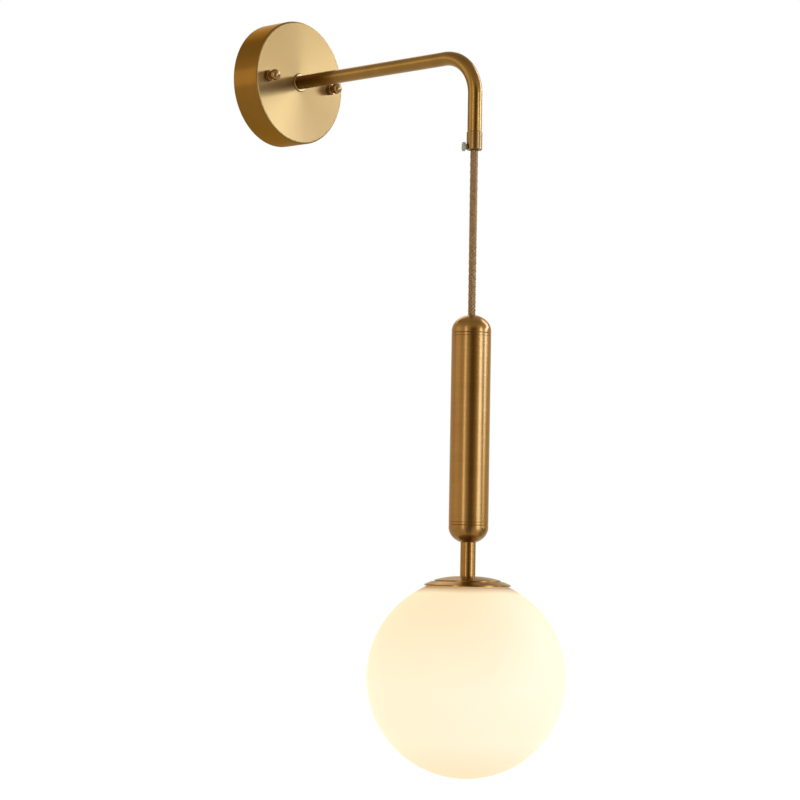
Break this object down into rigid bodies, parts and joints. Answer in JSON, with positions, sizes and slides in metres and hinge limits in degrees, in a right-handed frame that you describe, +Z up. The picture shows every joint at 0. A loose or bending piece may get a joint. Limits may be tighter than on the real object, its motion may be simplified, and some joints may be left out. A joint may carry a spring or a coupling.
{
  "type": "wall sconce",
  "caption": "Brass wall sconce: a cup on the wall holds an angled tube arm, from which a textile cord hangs a slim capsule and an opal glass globe.",
  "frame": {"origin": "middle of the wall bracket's back face, midway between its two screw slots, on the wall", "axes": "+Y into the wall, -Y out into the room along the arm, +Z up"},
  "size_m": [0.15, 0.288, 0.5985],
  "materials": {
    "satin_brass": "fine brushed, satin",
    "plain_brass": "plain",
    "zinc_steel": "zinc plated",
    "spring_steel": "plain",
    "nickel": "nickel plated",
    "textile_braid": "braided textile",
    "opal_glass": "opal, satin",
    "bulb_diffuser": "frosted",
    "white_plastic": "moulded",
    "black_plastic": "moulded",
    "clear_nylon": "plain",
    "silicone": "matt",
    "blue_insulation": "smooth",
    "brown_insulation": "smooth",
    "green_yellow_insulation": "smooth, striped",
    "pale_insulation": "smooth"
  },
  "bodies": {
    "wall_arm": {"wall_bracket": "zinc_steel", "bracket_studs": "zinc_steel", "stud_lock_nuts": "zinc_steel", "wall_cup": "satin_brass", "cap_nuts": "satin_brass", "arm_flange": "satin_brass", "arm_tube": "satin_brass", "arm_lock_washer": "zinc_steel", "arm_lock_nut": "zinc_steel", "arm_cable": "textile_braid", "grip_collar": "satin_brass", "grip_bush": "clear_nylon", "terminal_block": "white_plastic", "terminal_barrels": "plain_brass", "terminal_screws": "zinc_steel", "block_screw": "zinc_steel", "earth_screw": "zinc_steel", "earth_eyelet": "zinc_steel", "neutral_lead": "blue_insulation", "live_lead": "brown_insulation", "earth_lead": "green_yellow_insulation"},
    "grip_screw": {"grip_screw": "nickel"},
    "cord_bend": {"cord_bend": "textile_braid"},
    "cord": {"cord": "textile_braid", "cord_ferrule": "zinc_steel"},
    "pendant": {"capsule_top_cap": "satin_brass", "capsule_tube": "satin_brass", "capsule_bottom_cap": "satin_brass", "stem": "satin_brass", "stem_lock_nut": "zinc_steel", "gallery_cover": "satin_brass", "gallery_plate": "satin_brass", "globe_gasket": "silicone", "globe": "opal_glass", "globe_clip": "spring_steel", "holder_cap": "black_plastic", "holder_skirt": "black_plastic", "holder_core": "black_plastic", "screw_shell": "plain_brass", "middle_contact": "plain_brass", "bulb_cap": "nickel", "bulb_insulator": "black_plastic", "bulb_tip": "nickel", "bulb_neck": "white_plastic", "bulb_diffuser": "bulb_diffuser", "lamp_leads": "pale_insulation"}
  },
  "joints": [
    {"name": "grip_screw_turn", "type": "hinge", "parent": "wall_arm", "child": "grip_screw", "pos_m": [-0.00647, -0.2083, -0.0719], "axis": [-0.809, 0.5878, 0], "range_deg": [0, 450]},
    {"name": "swing_front_back", "type": "hinge", "parent": "wall_arm", "child": "cord_bend", "pos_m": [0, -0.213, -0.0754], "axis": [1, 0, 0], "range_deg": [-30, 19]},
    {"name": "swing_sideways", "type": "hinge", "parent": "cord_bend", "child": "cord", "pos_m": [0, -0.213, -0.0754], "axis": [0, 1, 0], "range_deg": [-30, 30]},
    {"name": "drop_adjust", "type": "slide", "parent": "cord", "child": "pendant", "axis": [0, 0, 1], "range_m": [0, 0.1]}
  ]
}
